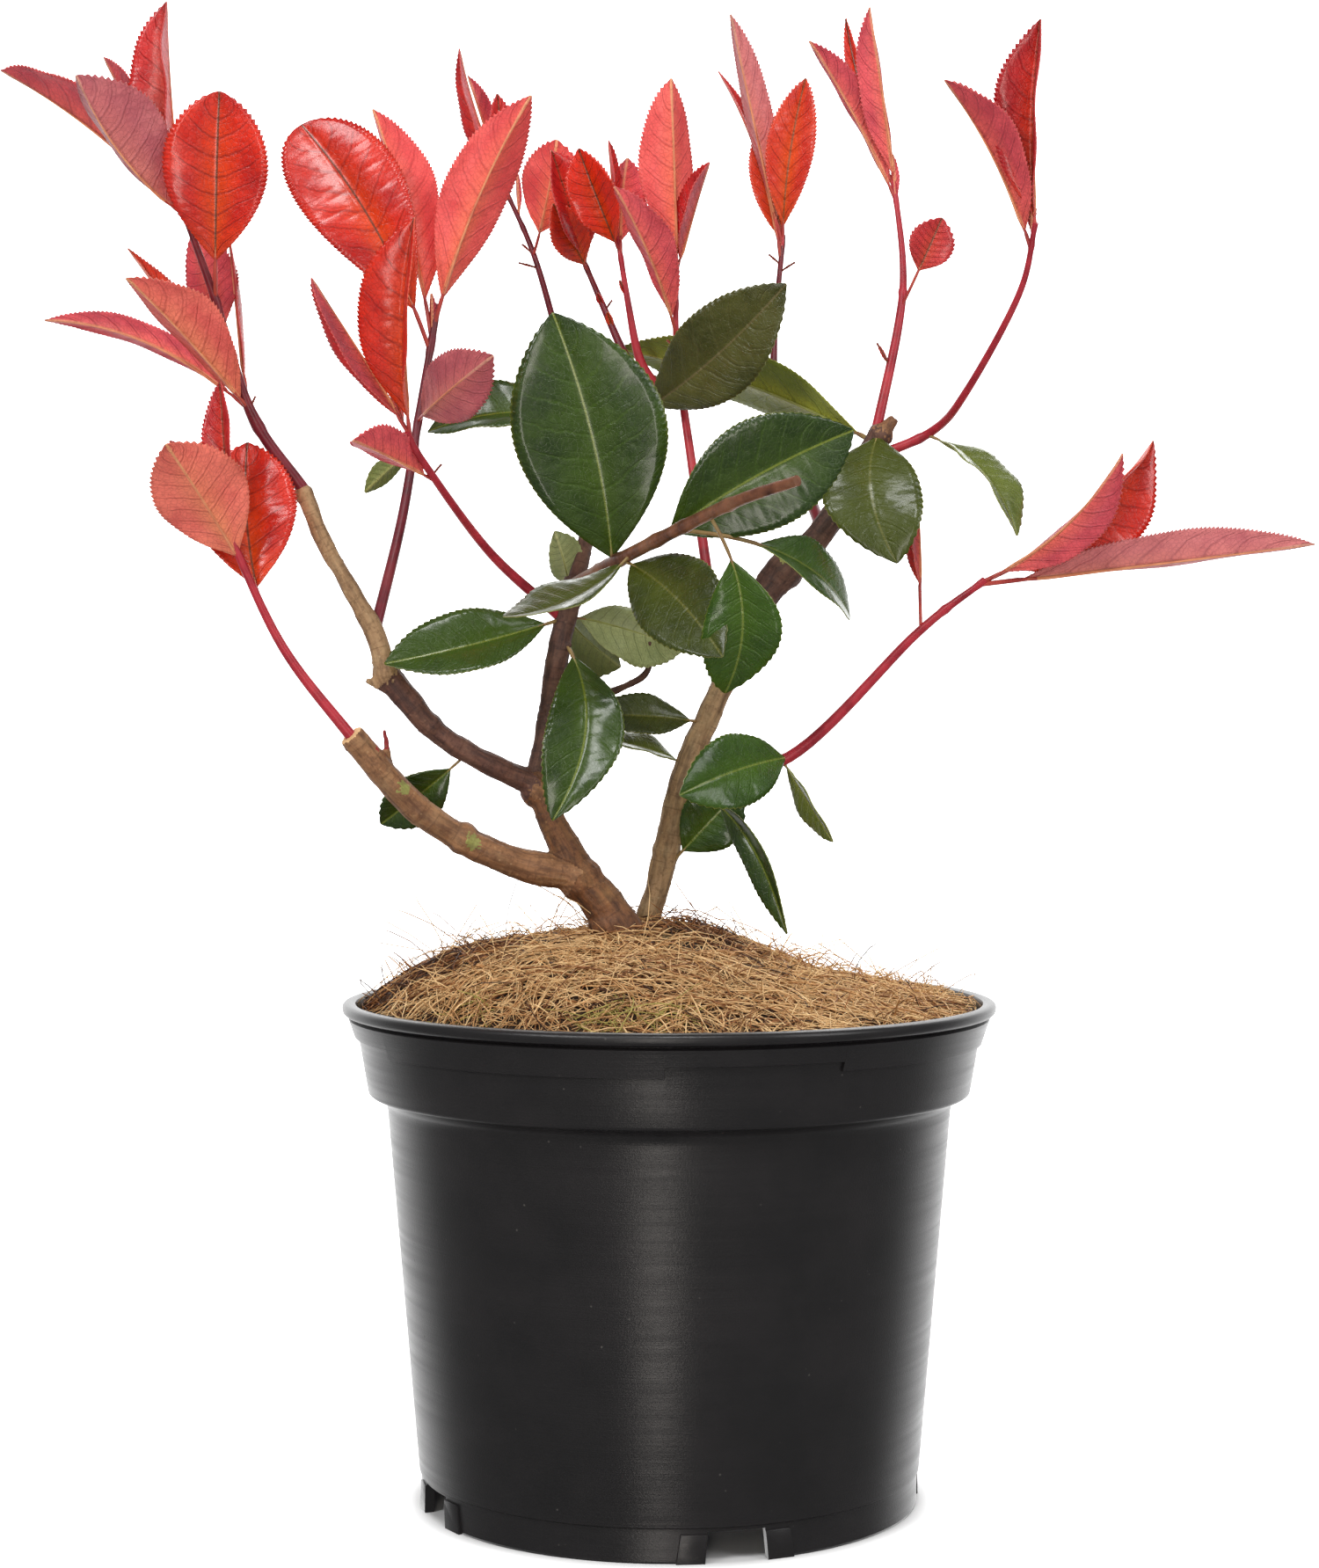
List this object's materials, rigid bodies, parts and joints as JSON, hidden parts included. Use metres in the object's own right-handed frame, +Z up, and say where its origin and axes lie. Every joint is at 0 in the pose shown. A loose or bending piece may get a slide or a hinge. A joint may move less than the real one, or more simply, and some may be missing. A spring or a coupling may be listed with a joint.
{
  "type": "potted shrub",
  "caption": "Young red-leaved photinia shrub with woody boughs and leafy shoots, in a black plastic nursery pot topped with coir mulch",
  "frame": {"origin": "centre of the box's bottom face: on the pot's axis, on the surface that the pot stands on", "axes": "+Z up, +X to the right seen from the front, +Y to the back"},
  "size_m": [0.4627, 0.23, 0.542],
  "materials": {
    "pot_plastic": "satin",
    "compost": "matte",
    "coir": "matte",
    "bark": "matte",
    "red_foliage": "satin",
    "green_foliage": "satin"
  },
  "bodies": {
    "root": {"pot": "pot_plastic", "growing_medium": "compost", "coir_mulch": "coir", "trunk": "bark", "low_left_bough": "bark", "fork_stem": "bark", "middle_bough": "bark", "left_bough": "bark", "left_bough_top": "bark", "back_bough": "bark", "right_stem": "bark", "right_bough": "bark", "bent_twig": "bark", "far_left_shoot": "red_foliage", "low_left_shoot": "red_foliage", "left_shoot": "red_foliage", "front_left_shoot": "red_foliage", "back_left_shoot": "red_foliage", "back_shoot": "red_foliage", "upright_shoot": "red_foliage", "tall_middle_shoot": "red_foliage", "tall_right_shoot": "red_foliage", "slim_right_shoot": "red_foliage", "far_right_shoot": "red_foliage", "low_right_shoot": "red_foliage", "cut_shoot": "green_foliage", "upper_green_leaf": "green_foliage", "behind_left_leaf": "green_foliage", "long_yellow_leaf": "green_foliage", "node_leaf": "green_foliage", "left_green_leaf": "green_foliage", "hanging_leaf": "green_foliage", "small_pale_leaf": "green_foliage", "pale_leaf_right": "green_foliage", "pale_leaf_low": "green_foliage", "inner_leaf_upper": "green_foliage", "inner_leaf_lower": "green_foliage", "base_leaf": "green_foliage", "low_hanging_leaf": "green_foliage", "shaded_left_leaf": "green_foliage"}
  },
  "joints": []
}
